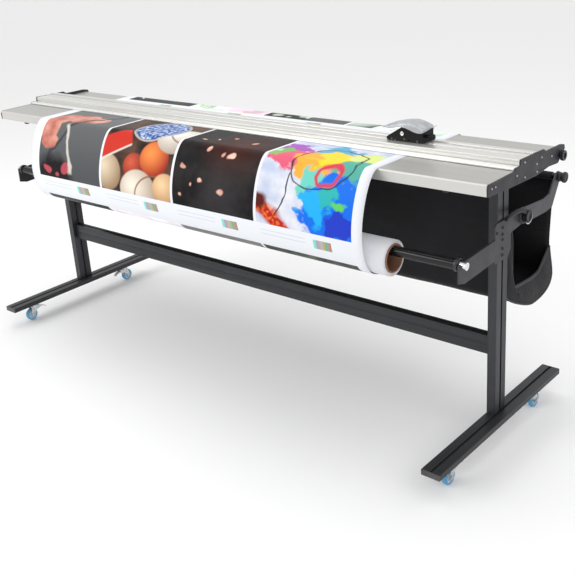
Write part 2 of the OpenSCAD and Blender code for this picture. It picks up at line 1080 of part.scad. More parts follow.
module hub(i) {
    r = wheel_d / 2;
    hw = wheel_w / 2;
    color("#cfd6dc")
        at_caster(i)
            translate([0, -trail, r])
                rotate([0, 90, 0])
                    difference() {
                        rotate_extrude($fn = 72)
                            polygon([
                                [axle_r + run_fit, -hw], [7, -hw], [7, -3], [14, -3],
                                [14, 1 - hw], [17, 1 - hw], [17, hw - 1], [14, hw - 1],
                                [14, 3], [7, 3], [7, hw], [axle_r + run_fit, hw]
                            ]);
                        for (k = [0 : 4])
                            rotate(k * 72)
                                translate([10.5, 0, -5])
                                    cylinder(r = 2.4, h = 10, $fn = 24);
                    }
}

// Brake pedal on its pin: the tail points at the wheel when the brake is on.
module brake(i) {
    color("#c3c6c9")
        at_caster(i)
            difference() {
                union() {
                    x_rod(4.2, -8, 8, pedal_y, pedal_z);
                    along_x(-8, 8)
                        polygon([
                            [pedal_y - 1, pedal_z - 4], [pedal_y + 22, pedal_z - 6],
                            [pedal_y + 34, pedal_z - 13], [pedal_y + 36, pedal_z - 11],
                            [pedal_y + 24, pedal_z - 2], [pedal_y + 2, pedal_z + 4]
                        ]);
                    along_x(-6, 6)
                        polygon([
                            [pedal_y + 1, pedal_z - 4], [pedal_y - 3, pedal_z + 2],
                            [pedal_y - 14.6, pedal_z - 8.2], [pedal_y - 12.2, pedal_z - 11.4]
                        ]);
                }
                x_rod(pin_r + run_fit, -10, 10, pedal_y, pedal_z);
            }
}

foot_left();
foot_right();
foot_end_caps();
column_left();
column_right();
cross_beam();
frame_bolts();
caster_stems();
table_cradles();
table_bumpers();
front_table();
bed_beam();
cutting_strip();
rear_table();
rail_front();
rail_rear();
pressure_strip();
end_plate_left();
end_plate_right();
plate_screws();
lock_knob_left();
lock_knob_right();
carriage_body();
carriage_cover();
cutting_blade();
blade_axle();
roller_left();
roller_right();
depth_knob();
side_bracket_left();
side_bracket_right();
rear_arm_left();
rear_arm_right();
clamp_lever_left();
clamp_lever_right();
hem_rod();
hem_rod_knobs();
media_rod();
media_rod_ends();
media_core();
media_roll();
media_web();
catch_bag();
bag_hem_bar();
fork(0);  // fork_front_left
tyre(0);  // tyre_front_left
hub(0);  // hub_front_left
brake(0);  // brake_front_left
fork(1);  // fork_front_right
tyre(1);  // tyre_front_right
hub(1);  // hub_front_right
brake(1);  // brake_front_right
fork(2);  // fork_rear_left
tyre(2);  // tyre_rear_left
hub(2);  // hub_rear_left
brake(2);  // brake_rear_left
fork(3);  // fork_rear_right
tyre(3);  // tyre_rear_right
hub(3);  // hub_rear_right
brake(3);  // brake_rear_right
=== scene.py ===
"""Looks of a wide-format media trimmer on its stand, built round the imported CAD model."""
from math import cos, pi, radians, sin

import bpy
from mathutils import Matrix, Vector, noise


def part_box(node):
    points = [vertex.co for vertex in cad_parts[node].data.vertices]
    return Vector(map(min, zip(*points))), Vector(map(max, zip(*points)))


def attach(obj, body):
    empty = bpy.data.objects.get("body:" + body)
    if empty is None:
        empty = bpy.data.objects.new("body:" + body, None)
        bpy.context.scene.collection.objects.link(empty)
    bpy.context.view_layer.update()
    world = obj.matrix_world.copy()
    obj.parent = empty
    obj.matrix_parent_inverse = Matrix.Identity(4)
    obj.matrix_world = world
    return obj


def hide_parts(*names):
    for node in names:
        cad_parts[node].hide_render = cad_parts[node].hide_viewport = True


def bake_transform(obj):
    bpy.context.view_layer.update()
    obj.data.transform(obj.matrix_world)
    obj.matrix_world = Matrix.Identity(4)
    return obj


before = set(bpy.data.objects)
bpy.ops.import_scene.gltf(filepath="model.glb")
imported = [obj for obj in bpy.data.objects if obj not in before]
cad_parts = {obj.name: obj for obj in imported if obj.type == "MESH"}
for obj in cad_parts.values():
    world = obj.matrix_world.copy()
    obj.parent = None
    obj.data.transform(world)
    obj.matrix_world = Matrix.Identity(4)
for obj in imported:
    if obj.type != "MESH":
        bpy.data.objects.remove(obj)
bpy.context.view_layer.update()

MM = 0.001
CASTERS = ("front_left", "front_right", "rear_left", "rear_right")


# ---- Camera, light and floor ----

CAMERA_AT = (2.1667, -2.1564, 1.5498)
CAMERA_YAW, CAMERA_PITCH, CAMERA_ROLL = 42.106, 20.347, -4.060


def make_camera():
    """Camera at the operator's right, a little above the bed."""
    yaw, pitch, roll = radians(CAMERA_YAW), radians(CAMERA_PITCH), radians(CAMERA_ROLL)
    forward = Vector((-sin(yaw) * cos(pitch), cos(yaw) * cos(pitch), -sin(pitch)))
    level_right = forward.cross(Vector((0, 0, 1))).normalized()
    level_up = level_right.cross(forward)
    right = cos(roll) * level_right + sin(roll) * level_up
    up = -sin(roll) * level_right + cos(roll) * level_up
    data = bpy.data.cameras.new("camera")
    camera = bpy.data.objects.new("camera", data)
    bpy.context.scene.collection.objects.link(camera)
    turn = Matrix((right, up, -forward)).transposed().to_4x4()
    camera.matrix_world = Matrix.Translation(CAMERA_AT) @ turn
    data.lens = 56.87
    data.shift_y = -0.0696
    data.clip_start, data.clip_end = 0.05, 200
    bpy.context.scene.camera = camera


def area_light(name, place, target, size, power):
    """Soft rectangular lamp, aimed at target."""
    data = bpy.data.lights.new(name, "AREA")
    data.shape = "RECTANGLE"
    data.size, data.size_y = size
    data.energy = power
    lamp = bpy.data.objects.new(name, data)
    bpy.context.scene.collection.objects.link(lamp)
    lamp.location = place
    lamp.rotation_euler = (Vector(target) - Vector(place)).to_track_quat("-Z", "Y").to_euler()


def make_light():
    """White surroundings and three soft lamps."""
    world = bpy.data.worlds.new("studio")
    world.use_nodes = True
    tree = world.node_tree
    background = tree.nodes["Background"]
    background.inputs["Color"].default_value = (1, 1, 1, 1)
    # The backdrop is white to the camera, and lights the object less than it shows
    seen = tree.nodes.new("ShaderNodeLightPath").outputs["Is Camera Ray"]
    strength = tree.nodes.new("ShaderNodeMapRange")
    strength.inputs["To Min"].default_value = 0.88
    strength.inputs["To Max"].default_value = 1.0
    tree.links.new(seen, strength.inputs["Value"])
    tree.links.new(strength.outputs[0], background.inputs["Strength"])
    bpy.context.scene.world = world
    bpy.context.scene.view_settings.view_transform = "Standard"
    area_light("overhead", (-0.3, 0.6, 3.4), (0, 0, 0.8), (4.0, 2.0), 26)
    area_light("front_left", (-2.2, -3.2, 2.6), (0, 0, 0.7), (2.4, 1.8), 56)
    area_light("right", (3.6, -0.6, 2.2), (0.6, 0, 0.6), (1.6, 1.6), 14)


# ---- Node materials ----

class Paint:
    """The node tree of one procedural material, with short names for the nodes it needs."""

    def __init__(self, name, **constants):
        self.material = bpy.data.materials.new(name)
        self.material.use_nodes = True
        self.tree = self.material.node_tree
        self.shader = self.tree.nodes["Principled BSDF"]
        for key, value in constants.items():
            self.shader.inputs[key.replace("_", " ")].default_value = value

    def put(self, socket, value):
        """Links a socket to another, or gives it a constant."""
        if isinstance(value, bpy.types.NodeSocket):
            self.tree.links.new(value, socket)
        elif socket.type == "RGBA" and len(value) == 3:
            socket.default_value = (*value, 1)
        else:
            socket.default_value = value

    def node(self, kind, inputs=None, **settings):
        made = self.tree.nodes.new("ShaderNode" + kind)
        for key, value in settings.items():
            setattr(made, key, value)
        for key, value in (inputs or {}).items():
            self.put(made.inputs[key], value)
        return made

    def place(self, stretch=(1, 1, 1)):
        """Object coordinates, scaled on each axis."""
        at = self.node("TexCoord").outputs["Object"]
        return self.node("VectorMath", {0: at, 1: stretch}, operation="MULTIPLY").outputs[0]

    def math(self, operation, a, b=0.0, c=0.0):
        return self.node("Math", {0: a, 1: b, 2: c}, operation=operation).outputs[0]

    def noise(self, scale, detail=3.0, stretch=(1, 1, 1), rough=0.5, at=None):
        at = at or self.place(stretch)
        inputs = {"Vector": at, "Scale": scale, "Detail": detail, "Roughness": rough}
        return self.node("TexNoise", inputs).outputs["Fac"]

    def span(self, value, low, high, to_low=0.0, to_high=1.0):
        """Maps low..high to to_low..to_high, clamped."""
        inputs = {"Value": value, "From Min": low, "From Max": high,
                  "To Min": to_low, "To Max": to_high}
        return self.node("MapRange", inputs).outputs[0]

    def window(self, value, low, high, soft):
        """1 between low and high, with a ramp as wide as soft after each."""
        after = self.span(value, low, low + soft)
        return self.math("MULTIPLY", after, self.span(value, high, high + soft, 1, 0))

    def mix(self, share, a, b):
        return self.node("Mix", {0: share, 6: a, 7: b}, data_type="RGBA").outputs[2]

    def bump(self, height, strength, distance=0.001, normal=None):
        inputs = {"Height": height, "Strength": strength, "Distance": distance}
        if normal:
            inputs["Normal"] = normal
        return self.node("Bump", inputs).outputs[0]

    def set(self, **inputs):
        for key, value in inputs.items():
            self.put(self.shader.inputs[key.replace("_", " ")], value)
        return self.material


# Stretches that draw a noise out into lines along one axis
ALONG = {"x": (0.02, 1, 1), "y": (1, 0.02, 1), "z": (1, 1, 0.02)}


def tone(colour, by):
    """A colour made darker by a factor under 1, or lighter by one over 1."""
    return tuple(c * by for c in colour)


def anodised(name, colour, axis, rough=0.42):
    """Extruded aluminium, satin anodised, with drawing lines along its length."""
    p = Paint(name, Metallic=0.35, Specular_IOR_Level=0.45)
    lines = p.noise(900, 2, ALONG[axis])
    wide = p.noise(60, 3, ALONG[axis])
    dust = p.noise(14, 5)
    base = p.mix(p.span(wide, 0.35, 0.65), tone(colour, 0.82), tone(colour, 1.22))
    base = p.mix(p.span(dust, 0.55, 0.75, 0, 0.25), base, tone(colour, 1.9))
    p.set(Base_Color=base, Roughness=p.span(lines, 0.3, 0.7, rough - 0.07, rough + 0.09))
    return p.set(Normal=p.bump(lines, 0.25, 0.0002))


def brushed(name, colour, rough=0.3, lines_scale=520, strength=0.12, metallic=0.6, lip=None):
    """Anodised aluminium with fine ribs and brush lines along X, and a painted highlight that makes
    it lighter in front of Y = lip.
    """
    p = Paint(name, Metallic=metallic, Specular_IOR_Level=0.5)
    ribs = p.noise(lines_scale, 1, (0.0008, 1, 1))
    streaks = p.noise(90, 4, (0.002, 1, 1))
    haze = p.noise(5, 4, (0.4, 1, 1))
    base = p.mix(p.span(streaks, 0.3, 0.7), tone(colour, 0.965), tone(colour, 1.03))
    base = p.mix(p.span(haze, 0.4, 0.8, 0, 0.3), base, tone(colour, 0.86))
    if lip is not None:
        # Painted highlight: the lip's front face is made lighter, in place of the front lamp's light
        # on it
        y = p.node("SeparateXYZ", {0: p.place()}).outputs[1]
        base = p.mix(p.span(y, lip, lip + 0.003, 1, 0), base, tone(colour, 1.38))
    p.set(Base_Color=base, Roughness=p.span(ribs, 0.3, 0.7, rough - 0.05, rough + 0.1))
    return p.set(Normal=p.bump(ribs, strength, 0.0004))


def powder_coat(name, colour, rough=0.5):
    """Fine orange-peel powder coat, a little rubbed."""
    p = Paint(name, Specular_IOR_Level=0.45)
    grain = p.noise(1400, 2)
    rubbed = p.noise(22, 5)
    base = p.mix(p.span(grain, 0.35, 0.7), tone(colour, 0.8), tone(colour, 1.3))
    base = p.mix(p.span(rubbed, 0.55, 0.8, 0, 0.3), base, tone(colour, 1.6))
    p.set(Base_Color=base, Roughness=p.span(rubbed, 0.3, 0.7, rough - 0.06, rough + 0.08))
    return p.set(Normal=p.bump(grain, 0.35, 0.0003))


def moulded(name, colour, rough=0.38, grain_scale=2200, **constants):
    """Moulded plastic with a fine spark-eroded grain."""
    p = Paint(name, **constants)
    grain = p.noise(grain_scale, 1)
    cloud = p.noise(35, 4)
    base = p.mix(p.span(cloud, 0.35, 0.7), tone(colour, 0.85), tone(colour, 1.2))
    p.set(Base_Color=base, Roughness=p.span(cloud, 0.3, 0.7, rough - 0.05, rough + 0.08))
    return p.set(Normal=p.bump(grain, 0.2, 0.0002))


def plated(name, colour, rough=0.28, metallic=0.95):
    """Zinc plate or turned steel with fine scratches."""
    p = Paint(name, Metallic=metallic)
    scratches = p.noise(700, 3, (1, 0.15, 1))
    cloud = p.noise(60, 4)
    base = p.mix(p.span(cloud, 0.3, 0.7), tone(colour, 0.82), tone(colour, 1.1))
    p.set(Base_Color=base, Roughness=p.span(scratches, 0.3, 0.7, rough - 0.08, rough + 0.12))
    return p.set(Normal=p.bump(scratches, 0.15, 0.0002))


def cardboard():
    """Kraft core: wound in a spiral, with fibres."""
    p = Paint("cardboard", Roughness=0.85)
    fibres = p.noise(900, 3, (0.25, 1, 1))
    blotches = p.noise(30, 4)
    wind = p.node("TexWave", {"Vector": p.place((1, 0.5, 0.5)), "Scale": 1.6,
                              "Distortion": 0.4}, wave_type="BANDS").outputs["Fac"]
    base = p.mix(p.span(blotches, 0.3, 0.7), (0.19, 0.080, 0.048), (0.33, 0.16, 0.095))
    base = p.mix(p.span(fibres, 0.4, 0.75, 0, 0.5), base, (0.52, 0.34, 0.22))
    base = p.mix(p.span(wind, 0.94, 1.0, 0, 0.6), base, (0.16, 0.08, 0.05))
    p.set(Base_Color=base)
    return p.set(Normal=p.bump(fibres, 0.5, 0.0004))


def woven(name, colour, rough=0.75):
    """Coated woven nylon: a plain weave of 1 mm threads, with soft creases that carry painted shade
    in their hollows and a painted highlight on their ridges, and sheen.
    """
    p = Paint(name, Sheen_Weight=0.06, Sheen_Roughness=0.45, Specular_IOR_Level=0.20)
    at = p.place()
    threads = []
    for direction in ("X", "Y", "Z"):
        wave = p.node("TexWave", {"Vector": at, "Scale": 320}, wave_type="BANDS",
                      bands_direction=direction)
        threads.append(wave.outputs["Fac"])
    weave = p.math("MULTIPLY", threads[0], p.math("ADD", threads[1], threads[2]))
    creases = p.noise(7, 5, (0.6, 1, 1), 0.6)
    # Painted shade and highlight: the cloth is darker where the crease bumps sink and lighter where
    # they rise
    base = p.mix(p.span(creases, 0.35, 0.7), tone(colour, 0.75), tone(colour, 1.35))
    base = p.mix(p.span(weave, 0.2, 1.2, 0, 0.35), base, tone(colour, 2.0))
    p.set(Base_Color=base, Roughness=p.span(creases, 0.3, 0.7, rough - 0.1, rough + 0.08))
    soft = p.bump(creases, 0.5, 0.012)
    return p.set(Normal=p.bump(weave, 0.3, 0.0004, soft))


def white_stock():
    """The back and the edges of the media, and the wound roll."""
    p = Paint("media_stock", Specular_IOR_Level=0.5)
    fibres = p.noise(600, 2)
    cloud = p.noise(6, 3)
    base = p.mix(p.span(cloud, 0.3, 0.7), (0.76, 0.78, 0.83), (0.83, 0.84, 0.87))
    p.set(Base_Color=base, Roughness=p.span(fibres, 0.3, 0.7, 0.32, 0.42))
    return p.set(Normal=p.bump(fibres, 0.06, 0.0002))


# ---- The printed media ----

# Across the web: the left edge of the first of four panels, their pitch, and the gap between them
PANEL_LEFT = -0.758
PANEL_PITCH = 0.370
PANEL_GAP = 0.010
PANELS = 4
# Along the web: where the front row starts, the rows' pitch, and the height of their images
ROW_START = 0.243
ROW_PITCH = 0.603
ROW_IMAGE = 0.520
# The shapes on the panels are flattened by this much
ART_FLATTEN = 1.16
MARGIN_WHITE = (0.80, 0.82, 0.86)


class Artwork(Paint):
    """Layers of soft shapes on a panel. A point is (across, up), in shares of the panel's width."""

    def point(self, x, y):
        return self.node("CombineXYZ", {0: x, 1: y}).outputs[0]

    def disc(self, centre, radius, soft=0.009, at=None):
        """1 inside a disc, 0 outside. Radius is a share of the panel's width."""
        far = self.node("VectorMath", {0: at or self.here, 1: (*centre, 0)},
                        operation="DISTANCE").outputs["Value"]
        return self.span(far, radius - soft, radius + soft, 1, 0)

    def ring(self, centre, radius, width, soft=0.008, at=None):
        inner = self.disc(centre, radius - width, soft, at)
        return self.math("SUBTRACT", self.disc(centre, radius, soft, at), inner)

    def band(self, angle, offset, width, soft=0.01, at=None):
        """1 on a straight stripe: angle of its normal, its distance from (0, 0), its half width."""
        turn = (cos(radians(angle)), sin(radians(angle)), 0)
        along = self.node("VectorMath", {0: at or self.here, 1: turn},
                          operation="DOT_PRODUCT").outputs["Value"]
        far = self.math("ABSOLUTE", self.math("SUBTRACT", along, offset))
        return self.span(far, width - soft, width + soft, 1, 0)

    def ball(self, ground, centre, radius, light, dark):
        """A shaded disc, lighter towards its upper left."""
        glow = self.disc((centre[0] - radius * 0.3, centre[1] + radius * 0.3), radius * 0.7,
                         radius * 0.6)
        return self.mix(self.disc(centre, radius), ground, self.mix(glow, dark, light))


def warm_forms(p):
    """Grey ground with warm rounded forms, a dark lower corner and a pale stroke."""
    art = p.mix(p.span(p.up, 0, 1), (0.075, 0.08, 0.085), (0.16, 0.165, 0.17))
    warm = p.mix(p.blots, (0.42, 0.10, 0.07), (0.72, 0.36, 0.28))
    for centre, radius in (((0.10, 0.62), 0.17), ((0.20, 0.80), 0.16), ((0.42, 0.88), 0.15),
                           ((0.62, 0.86), 0.12), ((0.16, 0.42), 0.10)):
        art = p.mix(p.disc(centre, radius, 0.012, p.wavy), art, warm)
    art = p.mix(p.band(-32, 0.02, 0.018, at=p.wavy), art, (0.05, 0.055, 0.06))
    art = p.mix(p.disc((0.25, -0.05), 0.30, 0.05, p.wavy), art, (0.012, 0.008, 0.010))
    for centre, radius in (((0.14, 0.10), 0.06), ((0.46, 0.12), 0.07), ((0.30, 0.05), 0.03)):
        art = p.mix(p.disc(centre, radius, 0.012, p.wavy), art, (0.45, 0.07, 0.09))
    stroke = p.math("MULTIPLY", p.band(12, 0.53, 0.022, 0.012, p.wavy),
                    p.disc((0.50, 0.38), 0.30, 0.02))
    return p.mix(stroke, art, (0.62, 0.58, 0.52))


def round_forms(p):
    """Round forms in red, blue and cream on a dark ground."""
    art = p.mix(p.blots, (0.020, 0.016, 0.014), (0.11, 0.055, 0.035))
    art = p.ball(art, (0.10, 0.20), 0.20, (0.75, 0.62, 0.44), (0.34, 0.22, 0.13))
    inside = p.disc((0.05, 0.45), 0.36, 0.01)
    for offset, width, colour in ((0.40, 0.115, (0.58, 0.035, 0.02)),
                                  (0.285, 0.008, (0.85, 0.82, 0.76))):
        stripe = p.math("MULTIPLY", p.band(118, offset, width), inside)
        art = p.mix(stripe, art, colour)
    art = p.ball(art, (0.48, 0.30), 0.15, (0.62, 0.10, 0.05), (0.16, 0.015, 0.012))
    art = p.ball(art, (0.74, 0.42), 0.19, (0.95, 0.28, 0.07), (0.36, 0.03, 0.015))
    art = p.ball(art, (0.55, 0.02), 0.26, (0.88, 0.80, 0.68), (0.38, 0.27, 0.20))
    art = p.mix(p.ring((0.78, -0.05), 0.30, 0.016), art, (0.25, 0.10, 0.05))
    art = p.ball(art, (0.92, 0.12), 0.17, (0.86, 0.60, 0.34), (0.48, 0.24, 0.11))
    art = p.ball(art, (0.92, 0.74), 0.24, (0.92, 0.88, 0.80), (0.44, 0.37, 0.30))
    art = p.mix(p.ring((1.05, 0.92), 0.30, 0.014), art, (0.22, 0.10, 0.06))
    blue = p.mix(p.specks, (0.03, 0.08, 0.30), (0.55, 0.68, 0.90))
    art = p.mix(p.disc((0.56, 0.88), 0.27), art, blue)
    return p.mix(p.ring((0.56, 0.88), 0.29, 0.018), art, (0.55, 0.50, 0.46))


def night_lights(p):
    """Near black, with a faint warm haze and scattered small lights."""
    art = p.mix(p.blots, (0.004, 0.004, 0.005), (0.022, 0.018, 0.018))
    art = p.mix(p.span(p.disc((0.66, 0.74), 0.26, 0.20), 0, 1, 0, 0.55), art, (0.10, 0.022, 0.012))
    art = p.mix(p.span(p.disc((0.60, 0.18), 0.20, 0.16), 0, 1, 0, 0.5), art, (0.06, 0.055, 0.06))
    lights = (((0.40, 0.62), 0.030), ((0.56, 0.60), 0.026), ((0.66, 0.57), 0.040),
              ((0.36, 0.28), 0.028), ((0.58, 0.22), 0.036), ((0.09, 0.44), 0.026),
              ((0.16, 0.80), 0.020), ((0.34, 0.86), 0.018), ((0.70, 0.90), 0.030),
              ((0.12, 0.10), 0.020), ((0.22, 0.24), 0.020), ((0.50, 0.93), 0.022))
    warm = p.mix(p.blots, (0.55, 0.20, 0.13), (0.90, 0.62, 0.50))
    for centre, radius in lights:
        art = p.mix(p.disc(centre, radius, 0.008, p.wavy), art, warm)
    return art


def paint_splash(p):
    """Bright washes: yellow in the middle, blue below right, red and pink at the left."""
    art = p.mix(p.blots, (0.52, 0.58, 0.74), (0.82, 0.82, 0.86))
    washes = (((0.14, 0.92), 0.15, (0.38, 0.10, 0.50)), ((0.22, 0.72), 0.17, (0.75, 0.12, 0.20)),
              ((0.10, 0.80), 0.08, (0.18, 0.50, 0.10)), ((0.55, 0.90), 0.22, (0.10, 0.40, 0.62)),
              ((0.58, 0.72), 0.26, (0.95, 0.42, 0.05)), ((0.66, 0.80), 0.20, (0.98, 0.68, 0.03)),
              ((0.56, 0.44), 0.14, (0.16, 0.62, 0.52)), ((0.90, 0.86), 0.16, (0.70, 0.80, 0.25)),
              ((0.94, 0.62), 0.20, (0.10, 0.42, 0.34)), ((0.80, 0.22), 0.34, (0.01, 0.16, 0.78)),
              ((0.60, 0.26), 0.15, (0.02, 0.42, 0.85)), ((0.74, 0.34), 0.08, (0.03, 0.45, 0.45)),
              ((0.86, 0.30), 0.06, (0.12, 0.60, 0.12)), ((0.88, 0.10), 0.14, (0.02, 0.05, 0.55)))
    for centre, radius, colour in washes:
        art = p.mix(p.disc(centre, radius, 0.018, p.ragged), art, colour)
    red = p.math("MULTIPLY", p.band(52, 0.17, 0.075, 0.02, p.wavy),
                 p.disc((0.22, 0.08), 0.34, 0.03))
    art = p.mix(red, art, p.mix(p.specks, (0.45, 0.02, 0.01), (0.85, 0.16, 0.04)))
    art = p.mix(p.disc((0.04, 0.22), 0.07, 0.03, p.wavy), art, (0.10, 0.015, 0.01))
    art = p.mix(p.ring((0.70, 0.56), 0.115, 0.035, 0.01, p.wavy), art, (0.66, 0.06, 0.10))
    art = p.mix(p.ring((0.60, 0.72), 0.32, 0.014, 0.006, p.wavy), art, (0.03, 0.03, 0.05))
    line = p.math("MULTIPLY", p.band(-14, 0.20, 0.008, 0.004, p.wavy), p.disc((0.30, 0.30), 0.22))
    return p.mix(line, art, (0.05, 0.04, 0.05))


def colour_patches(p, margin):
    """Test patches and fine rules in the white between two rows, over which margin is 0 to 1."""
    steps = p.math("FLOOR", p.math("MULTIPLY", p.across, 46))
    any_colour = p.node("TexWhiteNoise", {"W": steps}, noise_dimensions="1D").outputs["Color"]
    soft = p.mix(0.35, any_colour, (0.25, 0.26, 0.30))
    high = p.window(margin, 0.42, 0.78, 0.02)
    patch = p.math("MULTIPLY", p.window(p.across, 0.60, 0.78, 0.002), high)
    art = p.mix(patch, MARGIN_WHITE, soft)
    rules = p.node("TexWave", {"Vector": p.point(0, margin), "Scale": 1.9},
                   wave_type="BANDS", bands_direction="Y").outputs["Fac"]
    wide = p.math("MULTIPLY", p.window(p.across, 0.05, 0.52, 0.002), high)
    rule = p.math("MULTIPLY", p.span(rules, 0.90, 0.97), wide)
    return p.mix(p.math("MULTIPLY", rule, 0.5), art, (0.40, 0.45, 0.54))


def printed_media():
    """White stock with rows of four panels. The UV map is in metres: X, and length on the web."""
    p = Artwork("printed_media", Specular_IOR_Level=0.07)
    uv = p.node("SeparateXYZ", {0: p.node("UVMap", uv_map="metres").outputs[0]})
    column = p.math("DIVIDE", p.math("SUBTRACT", uv.outputs[0], PANEL_LEFT), PANEL_PITCH)
    row = p.math("DIVIDE", p.math("SUBTRACT", uv.outputs[1], ROW_START), ROW_PITCH)
    number = p.math("FLOOR", column)
    row_number = p.math("FLOOR", row)
    p.across = p.math("FRACT", column)
    in_row = p.math("FRACT", row)
    share = ROW_IMAGE / ROW_PITCH
    p.up = p.math("MULTIPLY", in_row, ROW_PITCH / PANEL_PITCH)
    p.here = p.point(p.across, p.math("MULTIPLY", p.up, ART_FLATTEN))
    seed = p.node("CombineXYZ", {0: number, 1: row_number, 2: 0.0}).outputs[0]
    spread = p.node("VectorMath", {0: p.here, 1: seed}, operation="ADD").outputs[0]

    def bent(scale, by, detail):
        """Places moved a little by a noise, so that what is drawn there has an uneven outline."""
        colour = p.node("TexNoise", {"Vector": spread, "Scale": scale, "Detail": detail})
        shift = p.node("VectorMath", {0: colour.outputs["Color"], 1: (0.5, 0.5, 0.5)},
                       operation="SUBTRACT").outputs[0]
        grown = p.node("VectorMath", {0: shift, "Scale": by}, operation="SCALE").outputs[0]
        moved = p.node("VectorMath", {0: p.here, 1: grown}, operation="ADD").outputs[0]
        return p.node("VectorMath", {0: moved, 1: (1, 1, 0)}, operation="MULTIPLY").outputs[0]

    p.wavy = bent(3.5, 0.22, 2)
    p.ragged = bent(6.0, 0.45, 6)
    p.blots = p.span(p.noise(5, 5, at=spread), 0.35, 0.65)
    p.specks = p.span(p.noise(26, 4, at=spread), 0.45, 0.62)
    # Every second row starts two panels further on
    shift = p.math("ABSOLUTE", p.math("MULTIPLY", row_number, 2))
    turned = p.math("MODULO", p.math("ADD", number, shift), PANELS)
    art = warm_forms(p)
    for index, panel in enumerate((round_forms, night_lights, paint_splash), 1):
        chosen = p.math("COMPARE", turned, float(index), 0.3)
        art = p.mix(chosen, art, panel(p))
    # Paler and in other hues outside the front row
    other = p.span(p.math("ABSOLUTE", row_number), 0.4, 0.6)
    tinted = p.node("HueSaturation", {"Hue": 0.80, "Saturation": 0.30, "Value": 1.2, "Color": art})
    art = p.mix(other, art, tinted.outputs[0])
    margin = p.span(in_row, share, 1)
    paper = colour_patches(p, margin)
    in_image = p.span(in_row, share, share + 0.002, 1, 0)
    edge = p.math("ABSOLUTE", p.math("SUBTRACT", p.across, 0.5))
    half = 0.5 - PANEL_GAP / PANEL_PITCH / 2
    in_image = p.math("MULTIPLY", in_image, p.span(edge, half - 0.002, half, 1, 0))
    # 1 on the four panels, 0 on the margins beside them
    on_panels = p.math("COMPARE", number, (PANELS - 1) / 2, PANELS / 2 - 0.4)
    in_image = p.math("MULTIPLY", in_image, on_panels)
    paper = p.mix(on_panels, MARGIN_WHITE, paper)
    fibres = p.noise(500, 2)
    p.set(Base_Color=p.mix(in_image, paper, art), Roughness=p.span(fibres, 0.3, 0.7, 0.34, 0.44))
    return p.set(Normal=p.bump(fibres, 0.05, 0.0002))


# ---- Mesh helpers ----

def clamped(value):
    """value, kept between 0 and 1."""
    return min(max(value, 0), 1)


def piece(name, points, faces, material, body, slot, replaces=(), smooth=True):
    """A mesh in the row's frame, in metres, that rides on a body."""
    mesh = bpy.data.meshes.new(name)
    mesh.from_pydata([tuple(p) for p in points], [], faces)
    mesh.update()
    mesh.polygons.foreach_set("use_smooth", [smooth] * len(mesh.polygons))
    made = bpy.data.objects.new(name, mesh)
    bpy.context.scene.collection.objects.link(made)
    mesh.materials.append(material)
    if body:
        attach(made, body)
    if replaces:
        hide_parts(*replaces)
    return made


def grid_faces(rows, columns, close_rows=False, close_columns=False):
    """Quads over a grid of rows x columns points."""
    faces = []
    for i in range(rows if close_rows else rows - 1):
        for j in range(columns if close_columns else columns - 1):
            a, b = i * columns, (i + 1) % rows * columns
            c, d = j, (j + 1) % columns
            faces.append((a + c, b + c, b + d, a + d))
    return faces


def soften(made, width, angle=32, weld=True):
    """Rounded edges on a hard-edged mesh, which isn't changed itself."""
    if weld:
        made.modifiers.new("weld", "WELD").merge_threshold = 1e-5
    bevel = made.modifiers.new("bevel", "BEVEL")
    bevel.width, bevel.segments = width, 2
    bevel.limit_method, bevel.angle_limit = "ANGLE", radians(angle)
    bevel.use_clamp_overlap = True
    made.modifiers.new("normals", "WEIGHTED_NORMAL").keep_sharp = True


def solidify(made, thickness, offset=0.0):
    """Gives a sheet its thickness, on both sides of it or, with offset -1, on its back."""
    wall = made.modifiers.new("wall", "SOLIDIFY")
    wall.thickness, wall.offset = thickness, offset


def lathe(profile, origin, axis="x", steps=48, sign=1, closed=False):
    """Points and faces of a profile [(along, radius)] turned about an axis through origin."""
    points = []
    for along, radius in profile:
        for k in range(steps):
            a = 2 * pi * k / steps
            u, v = radius * cos(a), radius * sin(a)
            offset = {"x": (sign * along, u, v), "y": (u, sign * along, v),
                      "z": (u, v, sign * along)}[axis]
            points.append(Vector(origin) + Vector(offset))
    return points, grid_faces(len(profile), steps, closed, True)


def joined(parts):
    """Several (points, faces) as one."""
    points, faces = [], []
    for more_points, more_faces in parts:
        faces += [tuple(i + len(points) for i in f) for f in more_faces]
        points += list(more_points)
    return points, faces


def heading(path, i):
    """Unit direction of a path at its point i."""
    return (path[min(i + 1, len(path) - 1)] - path[max(i - 1, 0)]).normalized()


def sweep(path, outline):
    """Closed outline [(side, up)] swept along a path without twist, with flat ends."""
    path = [Vector(p) for p in path]
    points, side = [], None
    for i, here in enumerate(path):
        ahead = heading(path, i)
        if side is None:
            side = ahead.orthogonal().normalized()
        side = (side - side.dot(ahead) * ahead).normalized()
        up = ahead.cross(side)
        points += [here + side * a + up * b for a, b in outline]
    n, last = len(outline), len(points) - len(outline)
    ends = [tuple(range(n)), tuple(range(last, last + n))[::-1]]
    return points, grid_faces(len(path), n, close_columns=True) + ends


def ellipse(a, b, steps=16):
    """Closed outline with the half axes a and b."""
    return [(a * cos(2 * pi * k / steps), b * sin(2 * pi * k / steps)) for k in range(steps)]


def bezier(a, b, c, d, steps, first=False):
    """Points of a cubic curve from a to d, with a itself only if first is true."""
    a, b, c, d = Vector(a), Vector(b), Vector(c), Vector(d)
    return [(1 - t) ** 3 * a + 3 * (1 - t) ** 2 * t * b + 3 * (1 - t) * t * t * c + t ** 3 * d
            for t in [i / steps for i in range(0 if first else 1, steps + 1)]]


